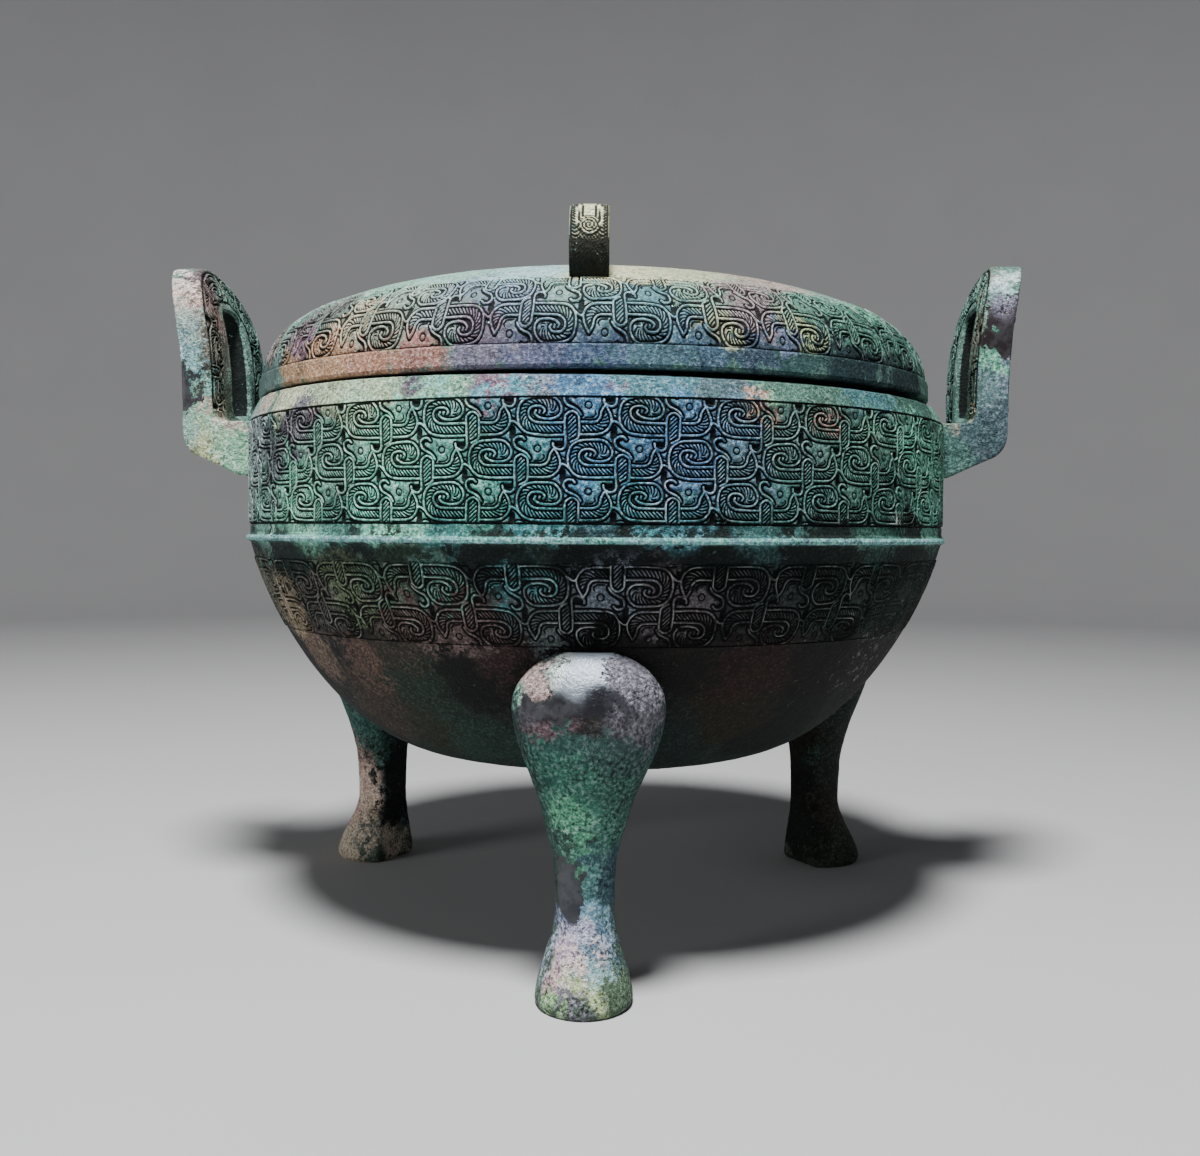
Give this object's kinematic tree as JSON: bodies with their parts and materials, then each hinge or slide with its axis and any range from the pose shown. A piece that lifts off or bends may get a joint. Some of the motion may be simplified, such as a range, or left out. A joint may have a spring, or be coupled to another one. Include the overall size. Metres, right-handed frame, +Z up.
{
  "type": "bronze tripod incense burner",
  "caption": "Cast bronze bowl on hoof legs with upright slotted handles, bands of low knotwork and a lift-off domed lid with strap loops.",
  "frame": {"origin": "on the ground under the middle of the bowl", "axes": "+Z up; the front leg stands at -Y; the two handles stand at -X and +X"},
  "size_m": [0.3086, 0.25, 0.2328],
  "materials": {
    "vessel_bronze": "matt blue-green patina with brown and dark patches",
    "lid_bronze": "matt pale green and pinkish patina"
  },
  "bodies": {
    "root": {"vessel": "vessel_bronze", "lid": "lid_bronze"}
  },
  "joints": []
}
